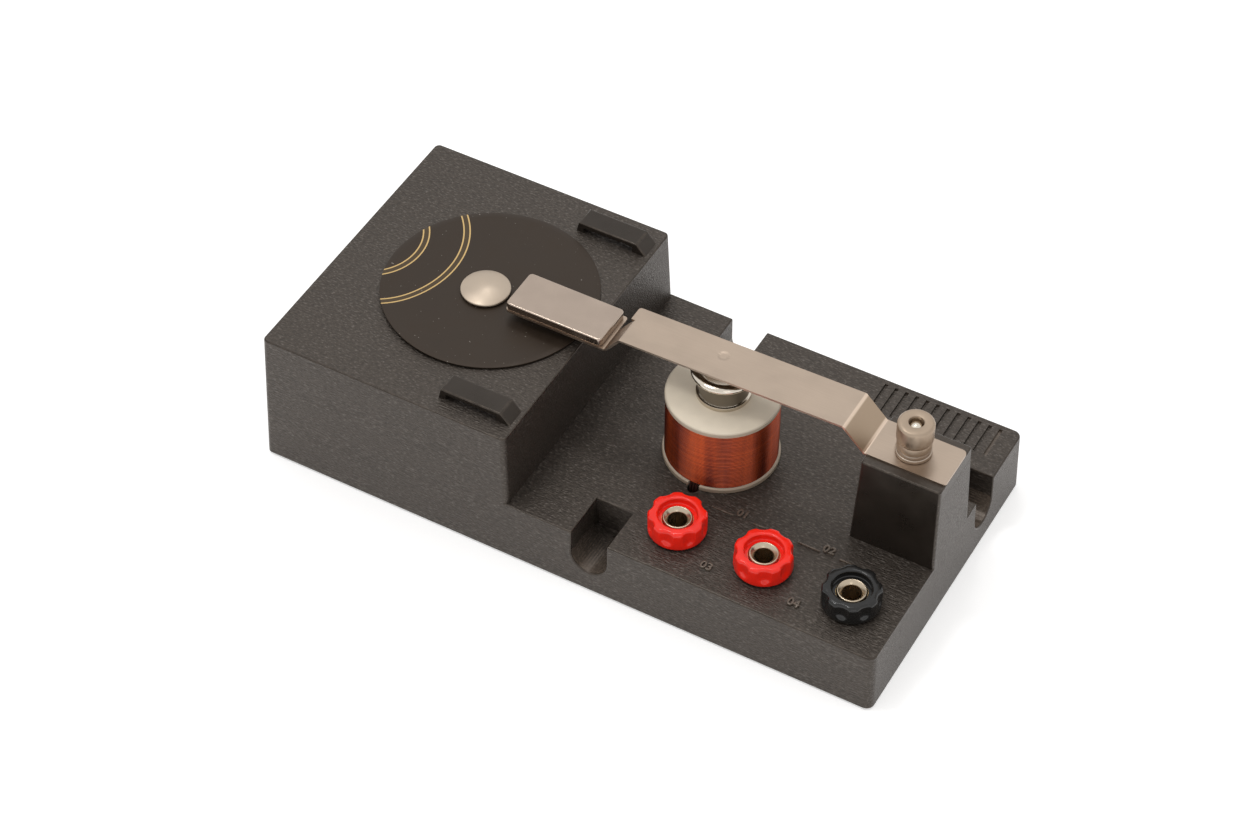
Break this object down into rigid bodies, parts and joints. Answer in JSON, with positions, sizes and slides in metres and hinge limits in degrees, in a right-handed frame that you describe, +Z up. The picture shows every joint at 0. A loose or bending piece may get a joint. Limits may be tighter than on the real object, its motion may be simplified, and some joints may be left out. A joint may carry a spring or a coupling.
{
  "type": "ticker timer",
  "caption": "School laboratory ticker timer: a coil drives a sprung steel reed that dots paper tape through a carbon disc on a moulded base with screw-cap sockets.",
  "frame": {"origin": "on the surface the part stands on, under the middle of the housing", "axes": "+X along the housing from the carbon disc to the reed's clamp, +Y from the sockets to the back, +Z up"},
  "size_m": [0.145, 0.072, 0.0468],
  "materials": {
    "housing": "fine spark texture, charcoal",
    "cover": "plain, charcoal",
    "screws": "zinc plated",
    "feet": "matt",
    "bobbin": "satin, cream",
    "winding": "enamelled copper wire",
    "core": "bright turned steel",
    "leads": "enamelled copper wire",
    "reed": "satin spring steel",
    "magnet": "bright nickel plate",
    "nut": "bright nickel plate",
    "brass": "turned",
    "carbon": "waxy carbon paper",
    "pin": "bright nickel plate",
    "stem": "nickel plated brass",
    "cap_red": "gloss, red",
    "cap_black": "gloss, black"
  },
  "bodies": {
    "base": {"base_housing": "housing", "base_cover": "cover", "cover_screws": "screws", "rubber_feet": "feet", "coil_bobbin": "bobbin", "coil_winding": "winding", "pole_core": "core", "core_washer": "screws", "core_nut": "screws", "start_lead": "leads", "tap_lead": "leads", "finish_lead": "leads", "reed_foot": "reed", "clamp_stud": "nut", "stud_insert": "brass", "socket_stem_1": "stem", "socket_stem_2": "stem", "socket_stem_3": "stem", "socket_bushes": "cap_black", "socket_nuts": "brass", "solder_tags": "stem"},
    "reed": {"reed_arm": "reed", "reed_magnet": "magnet", "striker_point": "screws"},
    "washer": {"clamp_washer": "nut", "lock_washer": "nut"},
    "nut": {"thumb_nut": "nut"},
    "disc": {"carbon_disc": "carbon"},
    "pin": {"disc_pin": "pin"},
    "ring_1": {"cap_ring_1": "brass"},
    "ring_2": {"cap_ring_2": "brass"},
    "ring_3": {"cap_ring_3": "brass"},
    "cap_1": {"socket_cap_1": "cap_red"},
    "cap_2": {"socket_cap_2": "cap_red"},
    "cap_3": {"socket_cap_3": "cap_black"}
  },
  "joints": [
    {"name": "reed_flex", "type": "hinge", "parent": "base", "child": "reed", "pos_m": [0.0535, 0, 0.03785], "axis": [0, 1, 0], "range_deg": [-0.62, 1.2], "stiffness_Nm_per_rad": 0.9, "springref_deg": 0.26},
    {"name": "disc_spin", "type": "hinge", "parent": "base", "child": "disc", "pos_m": [-0.0381, 0, 0.0346], "axis": [0, 0, 1], "continuous": true},
    {"name": "pin_lift", "type": "slide", "parent": "base", "child": "pin", "axis": [0, 0, 1], "range_m": [0, 0.008]},
    {"name": "nut_turn", "type": "hinge", "parent": "washer", "child": "nut", "pos_m": [0.0619, 0, 0.0402], "axis": [0, 0, 1], "range_deg": [0, 1450]},
    {"name": "washer_lift", "type": "slide", "parent": "base", "child": "washer", "axis": [0, 0, 1], "range_m": [0, 0.002]},
    {"name": "cap_turn_1", "type": "hinge", "parent": "ring_1", "child": "cap_1", "pos_m": [0.0215, -0.0241, 0.018], "axis": [0, 0, 1], "range_deg": [0, 730]},
    {"name": "ring_lift_1", "type": "slide", "parent": "base", "child": "ring_1", "axis": [0, 0, 1], "range_m": [0, 0.0015]},
    {"name": "cap_turn_2", "type": "hinge", "parent": "ring_2", "child": "cap_2", "pos_m": [0.0414, -0.0241, 0.018], "axis": [0, 0, 1], "range_deg": [0, 730]},
    {"name": "ring_lift_2", "type": "slide", "parent": "base", "child": "ring_2", "axis": [0, 0, 1], "range_m": [0, 0.0015]},
    {"name": "cap_turn_3", "type": "hinge", "parent": "ring_3", "child": "cap_3", "pos_m": [0.0613, -0.0241, 0.018], "axis": [0, 0, 1], "range_deg": [0, 730]},
    {"name": "ring_lift_3", "type": "slide", "parent": "base", "child": "ring_3", "axis": [0, 0, 1], "range_m": [0, 0.0015]}
  ],
  "couplings": [
    {"joint": "nut_turn", "follows": "washer_lift", "rad_per_m": 12566},
    {"joint": "cap_turn_1", "follows": "ring_lift_1", "rad_per_m": 8377.6},
    {"joint": "cap_turn_2", "follows": "ring_lift_2", "rad_per_m": 8377.6},
    {"joint": "cap_turn_3", "follows": "ring_lift_3", "rad_per_m": 8377.6}
  ]
}
